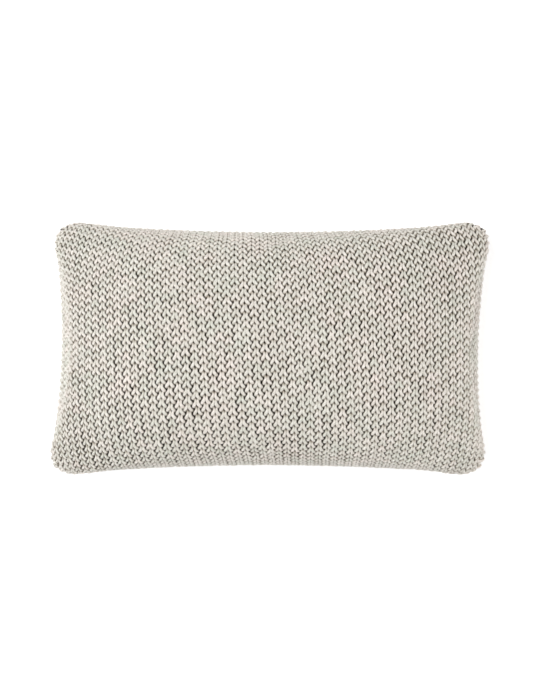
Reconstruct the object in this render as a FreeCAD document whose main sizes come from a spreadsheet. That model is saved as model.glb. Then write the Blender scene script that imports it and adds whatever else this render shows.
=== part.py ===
import FreeCAD, Part
import math
import os

import Sketcher
from FreeCAD import Placement, Rotation, Vector

# Throw pillow: a knitted cover with a zipper in its lower seam, around a fibre-filled insert.
# It lies on its back panel: +X along its length, +Y towards its top edge, +Z out of its front.
# The origin is the middle of the flat patch that it rests on. All sizes are in millimetres.

doc = FreeCAD.newDocument("throw_pillow")

SIZES = [
    ("corner_half_length", 257.0, "half length, out to where the two ends would meet square"),
    ("corner_half_width", 149.0, "half width, out to where the two edges would meet square"),
    ("end_pull_in", 17.0, "how far the middle of each end is drawn in by the filling"),
    ("edge_pull_in", 14.0, "how far the middle of each long edge is drawn in"),
    ("corner_power", 12.0, "superellipse power of the seam outline: higher is squarer"),
    ("crown_power", 2.6, "superellipse power near the crown"),
    ("profile_power", 2.2, "how full the crowned side is between crown and seam"),
    ("profile_rise", 0.55, "how steeply the side rises from the seam"),
    ("seam_level", 58.0, "height of the seam above the resting patch"),
    ("crown_level", 135.0, "height of the crown above the resting patch"),
    ("rest_patch_ratio", 0.5, "resting patch over the whole outline"),
    ("crown_patch_ratio", 0.14, "small level patch at the crown over the whole outline"),
    ("knit_thickness", 4.0, "thickness of the knitted panels"),
    ("seam_yarn_inset", 4.4, "outside of the cover's seam to the yarn that links it"),
    ("seam_yarn_width", 2.0, "width and height of that yarn's row of stitches"),
    ("insert_inset", 18.3, "outside of the cover to the insert, along the seam"),
    ("insert_depth", 4.3, "outside of the cover to the insert, at crown and patch"),
    ("ticking_thickness", 0.6, "woven ticking of the insert"),
    ("fill_gap", 0.8, "ticking to filling"),
    ("insert_thread_inset", 17.2, "outside of the cover to the insert's seam thread"),
    ("insert_thread_width", 0.8, "width and height of the insert's row of stitches"),
    ("closing_half_length", 70.0, "half of the stretch that is sewn up after filling"),
    ("zip_inset", 7.4, "outer edge of the cover's middle to the zipper tape"),
    ("slot_half_length", 208.0, "half of the opening in the lower seam"),
    ("slot_half_width", 4.6, "half of the gap between the two knitted lips"),
    ("tape_half_length", 200.0, "half length of the zipper tapes"),
    ("tape_width", 9.5, "width of each tape"),
    ("tape_thickness", 0.6, "thickness of each tape"),
    ("tape_gap", 0.6, "half of the gap between the two tapes"),
    ("coil_length", 376.0, "length of each row of nylon teeth"),
    ("coil_width", 1.8, "width of one row of teeth"),
    ("coil_height", 2.0, "height of one row of teeth"),
    ("coil_gap", 0.8, "half of the gap between the rows"),
    ("stop_length", 2.5, "length of the top and bottom stops"),
    ("stop_width", 2.2, "width of a top stop"),
    ("stitch_width", 0.6, "width and height of a row of sewing thread"),
    ("stitch_line", 8.2, "middle of the zipper to the row of sewing thread"),
    ("tack_length", 2.5, "length of the bar tack at each end"),
    ("tack_width", 12.0, "width of a bar tack, across both tapes"),
    ("tack_place", 197.0, "middle of the zipper to the middle of a bar tack"),
    ("slider_place", 183.0, "middle of the zipper to the slider when it is closed"),
    ("slider_length", 10.4, "length of the slider"),
    ("slider_width", 7.6, "width of the slider"),
    ("plate_thickness", 1.0, "thickness of the slider's two plates"),
    ("running_gap", 0.3, "slider to tape and teeth"),
    ("flange_width", 0.9, "width of the slider's side flanges"),
    ("flange_height", 1.9, "height of the slider's side flanges"),
    ("wedge_length", 3.0, "length of the wedge that parts the teeth"),
    ("wedge_width", 1.0, "width of that wedge"),
    ("bail_length", 9.0, "length of the bridge that holds the pull"),
    ("bail_width", 2.0, "width of that bridge"),
    ("bail_thickness", 1.0, "thickness of that bridge"),
    ("bail_clearance", 1.7, "height of the opening under the bridge"),
    ("pull_length", 22.0, "pull tab, from its pivot bar to its far end"),
    ("pull_width", 5.5, "width of the pull tab"),
    ("pull_thickness", 0.8, "thickness of the pull tab"),
    ("pull_bar_radius", 0.45, "radius of the pull tab's pivot bar"),
    ("pull_window_length", 5.1, "length of the window that the bridge passes through"),
    ("pull_window_width", 3.2, "width of that window"),
    ("pull_hole_radius", 1.2, "radius of the hole in the far end of the tab"),
    ("label_thickness", 0.3, "thickness of the two blank labels"),
    ("label_height", 16.0, "height of the two labels, across the seam"),
    ("care_label_length", 30.0, "length of the cover's care label"),
    ("care_label_inset", 8.5, "outer edge of the cover's end to its care label"),
    ("insert_label_length", 60.0, "length of the insert's label"),
    ("insert_label_inset", 8.5, "outer edge of the cover's long edge to the insert's label"),
    ("insert_label_place", 130.0, "middle of the pillow to the middle of the insert's label"),
]

sheet = doc.addObject("Spreadsheet::Sheet", "sizes")
for row, (alias, value, note) in enumerate(SIZES, start=1):
    sheet.set("A%d" % row, alias.replace("_", " "))
    sheet.set("B%d" % row, str(value))
    sheet.setAlias("B%d" % row, alias)
    sheet.set("C%d" % row, note)
doc.recompute()

POINTS_PER_SIDE = 16
RING_COUNT = 9
DEGREE = 3
QUARTER_TURN = 90.0

nodes = []


def size(alias):
    """The value of one cell of the sheet."""
    return float(getattr(sheet, alias))


# ---------------------------------------------------------------- the pillow's own form

def ring(inset, scale, level):
    """Points round one level section: a superellipse whose four sides are drawn in.

    inset is the distance in from the cover's outer face and scale runs from 1 at the seam
    down to the patch at the crown, where the section grows rounder.
    """
    half_x = size("corner_half_length") - inset
    half_y = size("corner_half_width") - inset
    draw_x = size("end_pull_in") * scale ** 4
    draw_y = size("edge_pull_in") * scale ** 4
    power = size("crown_power") + (size("corner_power") - size("crown_power")) * scale ** 3
    points = []
    for side in range(4):
        for step in range(POINTS_PER_SIDE):
            along = math.sin(math.pi * (step / POINTS_PER_SIDE - 0.5))
            corner_x, corner_y = [(1, along), (-along, 1), (-1, -along), (along, -1)][side]
            reach = (abs(corner_x) ** power + abs(corner_y) ** power) ** (-1 / power)
            unit_x = corner_x * reach
            unit_y = corner_y * reach
            x = unit_x * (half_x - draw_x * (1 - unit_y ** 2)) * scale
            y = unit_y * (half_y - draw_y * (1 - unit_x ** 2)) * scale
            points.append(Vector(x, y, level))
    return points


def rise(scale):
    """Height over full height, for a section of that scale."""
    return (1 - scale ** size("profile_power")) ** size("profile_rise")


def ring_scales(smallest):
    """Scales from the seam inwards, evenly spread round the side's quarter turn."""
    last = math.acos(smallest)
    return [math.cos(last * number / (RING_COUNT - 1)) for number in range(RING_COUNT)]


def front_rings(inset, depth):
    """Sections from the seam up to the crown."""
    seam = size("seam_level")
    height = size("crown_level") - depth - seam
    scales = ring_scales(size("crown_patch_ratio"))
    full = rise(scales[-1])
    return [ring(inset, scale, seam + height * rise(scale) / full) for scale in scales]


def back_rings(inset, depth):
    """Sections from the seam down to the flat patch, whose edge is rounded into it."""
    seam = size("seam_level")
    patch = size("rest_patch_ratio")
    rings = []
    for scale in ring_scales(0.0):
        level = seam - (seam - depth) * rise(max(scale, 0.0))
        rings.append(ring(inset, patch + (1 - patch) * scale, level))
    return rings


def solid_between(rings):
    """A solid with flat ends, whose side is a smooth surface over a net of rings."""
    around = len(rings[0])
    net = [[points[number] for points in rings] for number in range(around)]
    spans = len(rings) - DEGREE
    surface = Part.BSplineSurface()
    surface.buildFromPolesMultsKnots(
        net,
        [1] * (around + 1),
        [DEGREE + 1] + [1] * (spans - 1) + [DEGREE + 1],
        [float(number) for number in range(around + 1)],
        [float(number) for number in range(spans + 1)],
        True, False, DEGREE, DEGREE)
    side = surface.toShape()
    ends = [edge for edge in side.Edges if edge.BoundBox.ZLength < 0.001]
    caps = [Part.Face(Part.Wire([edge])) for edge in ends]
    skin = Part.makeShell([side] + caps)
    skin.sewShape()
    solid = Part.makeSolid(skin)
    if solid.Volume < 0:
        solid.reverse()
    return solid


def shell(make_rings, inset, depth, thickness):
    """A closed half shell between two nested forms."""
    outer = solid_between(make_rings(inset, depth))
    inner = solid_between(make_rings(inset + thickness, depth + thickness))
    return outer.cut(inner)


def seam_slab(inset, thickness):
    """Everything inside the outline at the seam, as a slab about the seam's level."""
    points = ring(inset, 1.0, size("seam_level") - thickness / 2)
    curve = Part.BSplineCurve()
    curve.buildFromPolesMultsKnots(
        points,
        [1] * (len(points) + 1),
        [float(number) for number in range(len(points) + 1)],
        True, DEGREE)
    return Part.Face(Part.Wire([curve.toShape()])).extrude(Vector(0, 0, thickness))


def seam_band(inset, width):
    """A square-section row of stitches all round the seam."""
    return seam_slab(inset, width).cut(seam_slab(inset + width, width))


def slot_block(half_length, half_width, side):
    """The block that opens the seam's -Y (side -1) or +Y (side 1) edge around its middle."""
    reach = 2 * size("corner_half_width")
    corner = Vector(-half_length, 0 if side > 0 else -reach, size("seam_level") - half_width)
    return Part.makeBox(2 * half_length, reach, 2 * half_width, corner)


def add_soft(name, shape):
    """A soft piece, whose form comes from the functions above."""
    piece = doc.addObject("Part::Feature", name)
    piece.Shape = shape
    piece.Placement = Placement()
    piece.Label = name
    nodes.append(piece)


def build_cover():
    thickness = size("knit_thickness")
    slot = slot_block(size("slot_half_length"), size("slot_half_width"), -1)
    add_soft("cover_front_panel", shell(front_rings, 0.0, 0.0, thickness).cut(slot))
    add_soft("cover_back_panel", shell(back_rings, 0.0, 0.0, thickness).cut(slot))
    band = seam_band(size("seam_yarn_inset"), size("seam_yarn_width"))
    add_soft("cover_seam_yarn", band.cut(slot))


def build_insert():
    inset = size("insert_inset")
    depth = size("insert_depth")
    thickness = size("ticking_thickness")
    add_soft("insert_ticking_front", shell(front_rings, inset, depth, thickness))
    add_soft("insert_ticking_back", shell(back_rings, inset, depth, thickness))
    core_gap = thickness + size("fill_gap")
    lower = back_rings(inset + core_gap, depth + core_gap)
    upper = front_rings(inset + core_gap, depth + core_gap)
    add_soft("insert_fibre_fill", solid_between(lower[::-1] + upper[1:]))
    band = seam_band(size("insert_thread_inset"), size("insert_thread_width"))
    closing = slot_block(size("closing_half_length"), size("insert_thread_width"), 1)
    add_soft("insert_seam_thread", band.cut(closing))
    add_soft("insert_closing_stitch", band.common(closing))


# ---------------------------------------------------------------- plain hardware

def bind(item, **expressions):
    """Bind properties to the sheet; a double underscore stands for a dot."""
    for name, expression in expressions.items():
        item.setExpression(name.replace("__", "."), expression)


ZIP_Y = "-(sizes.corner_half_width - sizes.edge_pull_in - sizes.zip_inset)"
ZIP_TURN = Rotation(Vector(1, 0, 0), QUARTER_TURN)


def set_in_zip(item, x="0", across="0", out="0"):
    """Place a piece in the zipper: x along it, across it (world +Z) and out of it (world -Y)."""
    item.Placement = Placement(Vector(), ZIP_TURN)
    bind(
        item,
        Placement__Base__x=x,
        Placement__Base__y="%s - (%s)" % (ZIP_Y, out),
        Placement__Base__z="sizes.seam_level + (%s)" % across,
    )


def zip_box(name, length, width, thickness, x, across, out):
    """A box in the zipper's own frame; the place is that of its lowest corner."""
    box = doc.addObject("Part::Box", name)
    bind(box, Length=length, Width=width, Height=thickness)
    set_in_zip(box, x, across, out)
    return box


def add_hard(item, name):
    item.Label = name
    nodes.append(item)


def zip_pair(name, boxes):
    """Several separate solids that are one node."""
    group = doc.addObject("Part::Compound", name)
    group.Links = boxes
    add_hard(group, name)


TAPE_FACE = "sizes.tape_thickness / 2"


def build_tapes():
    length = "2 * sizes.tape_half_length"
    front = zip_box(
        "zipper_tape_front", length, "sizes.tape_width", "sizes.tape_thickness",
        "-sizes.tape_half_length", "sizes.tape_gap", "-" + TAPE_FACE)
    back = zip_box(
        "zipper_tape_back", length, "sizes.tape_width", "sizes.tape_thickness",
        "-sizes.tape_half_length", "-sizes.tape_gap - sizes.tape_width", "-" + TAPE_FACE)
    add_hard(front, "zipper_tape_front")
    add_hard(back, "zipper_tape_back")


def build_stitching():
    """Rows of thread that sew the tapes to the two panels, and the bar tacks at the ends."""
    places = {"front": "sizes.stitch_line", "back": "-sizes.stitch_line - sizes.stitch_width"}
    for side, across in places.items():
        name = "zipper_stitching_" + side
        row = zip_box(
            name, "2 * (sizes.tape_half_length - sizes.stitch_width)", "sizes.stitch_width",
            "sizes.stitch_width", "-sizes.tape_half_length + sizes.stitch_width", across,
            "-%s - sizes.stitch_width" % TAPE_FACE)
        add_hard(row, name)
    tacks = []
    for end in ("", "-"):
        tacks.append(zip_box(
            "tack", "sizes.tack_length", "sizes.tack_width", "sizes.stitch_width",
            "%ssizes.tack_place - sizes.tack_length / 2" % end, "-sizes.tack_width / 2",
            "-%s - sizes.stitch_width" % TAPE_FACE))
    zip_pair("zipper_bar_tacks", tacks)


def build_stops():
    stops = []
    for across in ("sizes.coil_gap", "-sizes.coil_gap - sizes.stop_width"):
        stops.append(zip_box(
            "stop", "sizes.stop_length", "sizes.stop_width", "sizes.coil_height",
            "sizes.coil_length / 2 + sizes.running_gap", across, TAPE_FACE))
    zip_pair("zipper_top_stops", stops)
    bottom = zip_box(
        "zipper_bottom_stop", "sizes.stop_length", "2 * (sizes.coil_gap + sizes.stop_width)",
        "sizes.coil_height", "-sizes.coil_length / 2 - sizes.running_gap - sizes.stop_length",
        "-sizes.coil_gap - sizes.stop_width", TAPE_FACE)
    add_hard(bottom, "zipper_bottom_stop")


def build_labels():
    """Two blank labels that stand in the space between cover and insert."""
    care = doc.addObject("Part::Box", "cover_care_label")
    bind(
        care,
        Length="sizes.label_thickness",
        Width="sizes.care_label_length",
        Height="sizes.label_height",
        Placement__Base__x="-(sizes.corner_half_length - sizes.end_pull_in - sizes.care_label_inset)",
        Placement__Base__y="-sizes.care_label_length / 2",
        Placement__Base__z="sizes.seam_level - sizes.label_height / 2",
    )
    add_hard(care, "cover_care_label")
    law = doc.addObject("Part::Box", "insert_label")
    bind(
        law,
        Length="sizes.insert_label_length",
        Width="sizes.label_thickness",
        Height="sizes.label_height",
        Placement__Base__x="sizes.insert_label_place - sizes.insert_label_length / 2",
        Placement__Base__y="sizes.corner_half_width - sizes.edge_pull_in - sizes.insert_label_inset",
        Placement__Base__z="sizes.seam_level - sizes.label_height / 2",
    )
    add_hard(law, "insert_label")


# ---------------------------------------------------------------- bodies made from sketches

def origin_plane(body, role):
    return next(item for item in body.Origin.OriginFeatures if item.Role == role)


def new_sketch(body, name, role="XY_Plane", x="0", y="0", lift="0"):
    """A sketch on one of the body's own planes, shifted in that plane and lifted off it."""
    sketch = body.newObject("Sketcher::SketchObject", name)
    sketch.AttachmentSupport = (origin_plane(body, role), [""])
    sketch.MapMode = "FlatFace"
    bind(
        sketch,
        AttachmentOffset__Base__x=x,
        AttachmentOffset__Base__y=y,
        AttachmentOffset__Base__z=lift,
    )
    return sketch


def draw_rectangle(sketch, length, width):
    """A rectangle about the sketch's origin, with its two sizes bound to the sheet."""
    corners = [Vector(-1, -1, 0), Vector(1, -1, 0), Vector(1, 1, 0), Vector(-1, 1, 0)]
    for number in range(4):
        sketch.addGeometry(Part.LineSegment(corners[number], corners[(number + 1) % 4]))
    for number in range(4):
        sketch.addConstraint(Sketcher.Constraint("Coincident", number, 2, (number + 1) % 4, 1))
    for number in (0, 2):
        sketch.addConstraint(Sketcher.Constraint("Horizontal", number))
    for number in (1, 3):
        sketch.addConstraint(Sketcher.Constraint("Vertical", number))
    sketch.addConstraint(Sketcher.Constraint("Symmetric", 0, 1, 2, 1, -1, 1))
    along = sketch.addConstraint(Sketcher.Constraint("DistanceX", 0, 1, 0, 2, 2.0))
    across = sketch.addConstraint(Sketcher.Constraint("DistanceY", 1, 1, 1, 2, 2.0))
    sketch.renameConstraint(along, "along")
    sketch.renameConstraint(across, "across")
    bind(sketch, Constraints__along=length, Constraints__across=width)


def draw_circle(sketch, radius):
    """A circle about the sketch's origin, with its radius bound to the sheet."""
    sketch.addGeometry(Part.Circle(Vector(), Vector(0, 0, 1), 1.0))
    sketch.addConstraint(Sketcher.Constraint("Coincident", 0, 3, -1, 1))
    number = sketch.addConstraint(Sketcher.Constraint("Radius", 0, 1.0))
    sketch.renameConstraint(number, "round")
    bind(sketch, Constraints__round=radius)


def pad(body, sketch, length, both_ways=False):
    feature = body.newObject("PartDesign::Pad", sketch.Name + "_pad")
    feature.Profile = sketch
    feature.Midplane = both_ways
    bind(feature, Length=length)
    sketch.Visibility = False
    return feature


def cut_through(body, sketch):
    """A pocket right through, both ways from its sketch; it has to take something away."""
    doc.recompute()
    before = body.Shape.Volume
    feature = body.newObject("PartDesign::Pocket", sketch.Name + "_pocket")
    feature.Profile = sketch
    feature.Type = "ThroughAll"
    feature.Midplane = True
    doc.recompute()
    if body.Shape.Volume >= before:
        raise RuntimeError(sketch.Name + " cuts nothing")


def plate(body, name, length, width, thickness, x="0", y="0", lift="0"):
    sketch = new_sketch(body, name, x=x, y=y, lift=lift)
    draw_rectangle(sketch, length, width)
    return pad(body, sketch, thickness)


def build_coils():
    """Each row of teeth as one bar with a rounded back, lying on its tape."""
    for side, sign in (("front", ""), ("back", "-")):
        name = "zipper_coil_" + side
        body = doc.addObject("PartDesign::Body", name)
        middle = "%s(sizes.coil_gap + sizes.coil_width / 2)" % sign
        bar = plate(
            body, name + "_bar", "sizes.coil_length", "sizes.coil_width", "sizes.coil_height",
            y=middle, lift=TAPE_FACE)
        doc.recompute()
        top = size("tape_thickness") / 2 + size("coil_height")
        rounding = body.newObject("PartDesign::Fillet", name + "_round")
        rounding.Base = (bar, long_edges(bar.Shape, top))
        bind(rounding, Radius="sizes.coil_width / 3")
        set_in_zip(body)
        add_hard(body, name)


def long_edges(shape, level):
    """The names of the edges that run along X at that height."""
    found = []
    for number, edge in enumerate(shape.Edges, start=1):
        box = edge.BoundBox
        if box.XLength > size("slider_length") / 2 and abs(box.ZMin - level) < 0.001:
            if abs(box.ZMax - level) < 0.001:
                found.append("Edge%d" % number)
    return found


def build_slider():
    """Two plates joined by a wedge, with side flanges and the bridge that holds the pull."""
    body = doc.addObject("PartDesign::Body", "zipper_slider_body")
    inner_face = "-%s - sizes.running_gap" % TAPE_FACE
    outer_face = "%s + sizes.coil_height + sizes.running_gap" % TAPE_FACE
    plate(
        body, "inner_plate", "sizes.slider_length", "sizes.slider_width",
        "sizes.plate_thickness", lift="%s - sizes.plate_thickness" % inner_face)
    plate(
        body, "wedge", "sizes.wedge_length", "sizes.wedge_width",
        "2 * sizes.running_gap + sizes.tape_thickness + sizes.coil_height",
        x="(sizes.slider_length - sizes.wedge_length) / 2", lift=inner_face)
    outer = plate(
        body, "outer_plate", "sizes.slider_length", "sizes.slider_width",
        "sizes.plate_thickness", lift=outer_face)
    for side, sign in (("upper", ""), ("lower", "-")):
        plate(
            body, side + "_flange", "sizes.slider_length", "sizes.flange_width",
            "sizes.flange_height", y="%s(sizes.slider_width - sizes.flange_width) / 2" % sign,
            lift="%s - sizes.flange_height" % outer_face)
    top_face = "%s + sizes.plate_thickness" % outer_face
    for end, sign in (("head", ""), ("tail", "-")):
        plate(
            body, "bail_" + end, "sizes.bail_thickness", "sizes.bail_width",
            "sizes.bail_clearance", x="%s(sizes.bail_length - sizes.bail_thickness) / 2" % sign,
            lift=top_face)
    bridge = plate(
        body, "bail_bridge", "sizes.bail_length", "sizes.bail_width",
        "sizes.bail_thickness", lift="%s + sizes.bail_clearance" % top_face)
    doc.recompute()
    crest = bridge.Shape.BoundBox.ZMax
    rounding = body.newObject("PartDesign::Fillet", "bail_round")
    rounding.Base = (bridge, long_edges(bridge.Shape, crest))
    bind(rounding, Radius="sizes.bail_thickness / 3")
    set_in_zip(body, x="sizes.slider_place")
    add_hard(body, "zipper_slider_body")


def build_pull():
    """The tab lies back along the closed teeth; its pivot bar is under the slider's bridge."""
    body = doc.addObject("PartDesign::Body", "zipper_pull_tab")
    blade = plate(
        body, "blade", "sizes.pull_length", "sizes.pull_width", "sizes.pull_thickness",
        x="-sizes.pull_length / 2", lift="-sizes.pull_thickness / 2")
    doc.recompute()
    corners = []
    for number, edge in enumerate(blade.Shape.Edges, start=1):
        box = edge.BoundBox
        upright = box.ZLength > size("pull_thickness") / 2
        if upright and box.XMax < -size("pull_window_length"):
            corners.append("Edge%d" % number)
    rounding = body.newObject("PartDesign::Fillet", "blade_round")
    rounding.Base = (blade, corners)
    bind(rounding, Radius="sizes.pull_width / 3")
    window = new_sketch(body, "window", x="-sizes.pull_window_length / 2")
    draw_rectangle(window, "sizes.pull_window_length", "sizes.pull_window_width")
    cut_through(body, window)
    hole = new_sketch(body, "hole", x="-sizes.pull_length + 2 * sizes.pull_hole_radius")
    draw_circle(hole, "sizes.pull_hole_radius")
    cut_through(body, hole)
    bar = new_sketch(body, "pivot_bar", role="XZ_Plane")
    draw_circle(bar, "sizes.pull_bar_radius")
    pad(body, bar, "sizes.pull_width", both_ways=True)
    pivot = (
        "%s + sizes.coil_height + sizes.running_gap + sizes.plate_thickness"
        " + sizes.bail_clearance - sizes.pull_bar_radius - sizes.running_gap / 2" % TAPE_FACE)
    set_in_zip(body, x="sizes.slider_place", out=pivot)
    add_hard(body, "zipper_pull_tab")


# ---------------------------------------------------------------- check and write

def check_and_write():
    doc.recompute()
    for item in doc.Objects:
        if "Invalid" in item.State or "Error" in item.State:
            raise RuntimeError("%s failed: %s" % (item.Name, item.State))
    for node in nodes:
        if node.Shape.isNull() or not node.Shape.isValid():
            raise RuntimeError(node.Label + " has no valid shape")
        if not node.Shape.Solids:
            raise RuntimeError(node.Label + " has no solid")
    os.makedirs("parts", exist_ok=True)
    for node in nodes:
        node.Shape.exportStep("parts/%s.step" % node.Label)
        box = node.Shape.BoundBox
        print("%-24s %2d solid(s) %10.1f mm3  %7.1f %7.1f %6.1f to %6.1f %6.1f %6.1f" % (
            node.Label, len(node.Shape.Solids), node.Shape.Volume,
            box.XMin, box.YMin, box.ZMin, box.XMax, box.YMax, box.ZMax))


build_cover()
build_insert()
build_tapes()
build_stitching()
build_stops()
build_labels()
build_coils()
build_slider()
build_pull()
check_and_write()
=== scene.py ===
import math

import bpy
import numpy as np
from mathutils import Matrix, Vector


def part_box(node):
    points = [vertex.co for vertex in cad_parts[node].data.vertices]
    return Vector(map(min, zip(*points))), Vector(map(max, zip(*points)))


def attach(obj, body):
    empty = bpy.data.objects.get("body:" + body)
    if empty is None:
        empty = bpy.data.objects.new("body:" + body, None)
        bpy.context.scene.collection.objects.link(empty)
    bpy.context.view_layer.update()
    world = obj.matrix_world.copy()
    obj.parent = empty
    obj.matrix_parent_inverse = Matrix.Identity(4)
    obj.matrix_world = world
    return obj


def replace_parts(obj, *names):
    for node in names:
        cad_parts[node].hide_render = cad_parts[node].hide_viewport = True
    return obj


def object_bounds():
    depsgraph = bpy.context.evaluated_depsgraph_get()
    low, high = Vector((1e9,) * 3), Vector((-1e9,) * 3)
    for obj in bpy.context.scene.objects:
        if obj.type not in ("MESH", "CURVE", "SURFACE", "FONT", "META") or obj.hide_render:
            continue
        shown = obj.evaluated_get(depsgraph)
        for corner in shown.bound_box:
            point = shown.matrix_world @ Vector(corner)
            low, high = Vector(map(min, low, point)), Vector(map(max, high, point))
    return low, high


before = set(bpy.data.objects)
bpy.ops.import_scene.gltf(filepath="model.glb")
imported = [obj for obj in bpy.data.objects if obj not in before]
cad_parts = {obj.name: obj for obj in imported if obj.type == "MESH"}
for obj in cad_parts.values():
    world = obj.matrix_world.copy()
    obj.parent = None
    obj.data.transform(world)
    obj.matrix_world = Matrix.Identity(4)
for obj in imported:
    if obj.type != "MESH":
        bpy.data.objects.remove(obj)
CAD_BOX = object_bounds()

# Throw pillow, lying on its back panel on a pale floor and seen from straight above.
# The cover is knitted stitch by stitch from yarn tubes that follow the pillow's swollen form.

MM = 0.001
SEAM_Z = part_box("cover_front_panel")[0].z
CROWN_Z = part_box("cover_front_panel")[1].z
FLOOR_Z = CAD_BOX[0].z

# The knitted fabric
YARN = 4.35 * MM              # diameter of the yarn
YARN_LAY = 7 * MM             # one turn of its two plies
SECTION_POWER = 0.92          # under 1, the yarn's section is a little square: pressed flat
WALES = 58                    # columns of stitches in one panel
COURSES = 39                  # stitches up one column
WALE_PITCH = 10.6 * MM        # a stitch this wide and this tall has yarn of the full diameter;
COURSE_PITCH = 9.4 * MM       # a smaller stitch has thinner yarn,
YARN_THINNING = 0.62          # by this power of its area,
YARN_THINNEST = 0.55          # and within these shares of the diameter
YARN_THICKEST = 1.04
EDGE_STRETCH = 1.08           # stitches at the seam are this much larger than at the crown
LEFT_NARROWING = 0.14         # columns are narrower again by this share at the left end
RIGHT_NARROWING = -0.02       # and at the right end, where they are a little wider
KNIT_PIECES = 8               # bands of courses that one panel is split into
REST_LIFT = 0.64 * YARN       # the yarn's middle over the floor, where the pillow rests
SEAM_OVERRUN = 1.012          # how far a stitch may run out, where the seam is at 1,
LIP_TRIM = 0.988              # but at the zipper's lips it stays this far in
GROUND_DEPTH = 1.3 * YARN     # from the yarn's middle in to the fabric's inner side,
GROUND_REACH = 0.975          # which ends this far out

# The pillow's plan
SQUARE_X = 256.7 * MM         # half length, out to where the ends would meet square
SQUARE_Y = 147.2 * MM
DRAW_X = 15.0 * MM            # how far the middle of each end is drawn in
DRAW_Y = 11.4 * MM
CORNER_RADIUS = 38 * MM
LEAN = 0.02                   # sideways lean of the whole plan, as it was put down
END_POWER = 3.4               # fullness of the profile along the length and the width
SIDE_POWER = 3.0
SEAM_PINCH = 0.58             # 0.5 would be round at the seam, 1 would be a wedge
BACK_BULGE = 14 * MM          # the back would hang this far below the floor if nothing held it up
FLOOR_BEND = 6 * MM           # how softly it bends where it meets the floor
LUMPS = 5 * MM                # unevenness of the filling, as it shows on the front
CROWN_SPARE = 1 * MM          # the middle of the yarn may be this far over the CAD's crown
GRID_U = 72
GRID_V = 44

# The cloth simulation that blows the drawn form up
SWELL_FRAMES = 16
SWELL_PRESSURE = 3
SWELL_CAP = 5 * MM            # no point moves further than this

# The zipper
ZIP_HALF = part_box("zipper_tape_front")[1].x
ZIP_Y = (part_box("zipper_tape_front")[0].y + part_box("zipper_tape_front")[1].y) / 2
LIP_OPENING = 7.0 * MM        # how far each knitted lip stands off the zipper's middle
LIP_WIDTH = 0.28              # part of the panel's half width that is lifted to a lip
LIP_END = 12 * MM             # past the tapes' ends by this the lips have closed again,
LIP_CLOSING = 14 * MM         # over this length
TAPE_TAIL = 8 * MM            # tape that runs on under the lacing, past the bar tacks
COIL_PITCH = 1.25 * MM
COIL_WIRE = 0.32 * MM         # radius of the monofilament
COIL_REACH = 0.9 * MM         # how far the turns of one side reach in between the other's
COIL_PARTING = 172 * MM       # past this the turns are parted, as they are inside the slider
COIL_PARTING_RUN = 4 * MM     # and this is how soon

# The camera, straight above the pillow
SENSOR = 36                   # any size does: the lens is reckoned from it
CAMERA_HEIGHT = 1.35          # above the seam
CAMERA_X = 5.2 * MM
CAMERA_Y = -1.7 * MM
PICTURE_HEIGHT = 804.3 * MM   # what the long side of the picture takes in at the seam's level

# Lamps: name, place, side of the square, power, colour. All point at the middle of the floor.
LAMPS = (
    ("key", (-0.55, 0.1, 1.9), 0.5, 22.3, (1.0, 0.997, 0.99)),
    ("fill", (1.5, 0.15, 1.3), 1.0, 15.8, (1.0, 0.99, 0.98)),
    ("left", (-1.5, -0.1, 0.75), 1.0, 9, (0.95, 0.975, 1.0)),
)
WORLD_LIGHT = 0.33            # strength of the even light from all round

random = np.random.default_rng(12)


# ---------------------------------------------------------------- meshes

def new_object(name, mesh, body, material):
    mesh.materials.append(material)
    piece = bpy.data.objects.new(name, mesh)
    bpy.context.scene.collection.objects.link(piece)
    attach(piece, body)
    return piece


def mesh_from_arrays(name, points, corners, sizes):
    """A smooth mesh: points, then the point number of every face corner, then corners per face."""
    mesh = bpy.data.meshes.new(name)
    mesh.vertices.add(len(points))
    mesh.vertices.foreach_set("co", np.asarray(points, np.float32).ravel())
    mesh.loops.add(len(corners))
    mesh.loops.foreach_set("vertex_index", np.asarray(corners, np.int32))
    mesh.polygons.add(len(sizes))
    starts = np.concatenate([[0], np.cumsum(sizes)[:-1]])
    mesh.polygons.foreach_set("loop_start", starts.astype(np.int32))
    mesh.polygons.foreach_set("use_smooth", np.ones(len(sizes), bool))
    mesh.update(calc_edges=True)
    mesh.validate()
    return mesh


def set_attribute(mesh, name, values):
    kind = "FLOAT" if values.ndim == 1 else "FLOAT_VECTOR"
    layer = mesh.attributes.new(name, kind, "POINT")
    field = "value" if kind == "FLOAT" else "vector"
    layer.data.foreach_set(field, values.astype(np.float32).ravel())


def unit(vectors):
    return vectors / np.maximum(np.linalg.norm(vectors, axis=-1, keepdims=True), 1e-9)


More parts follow.
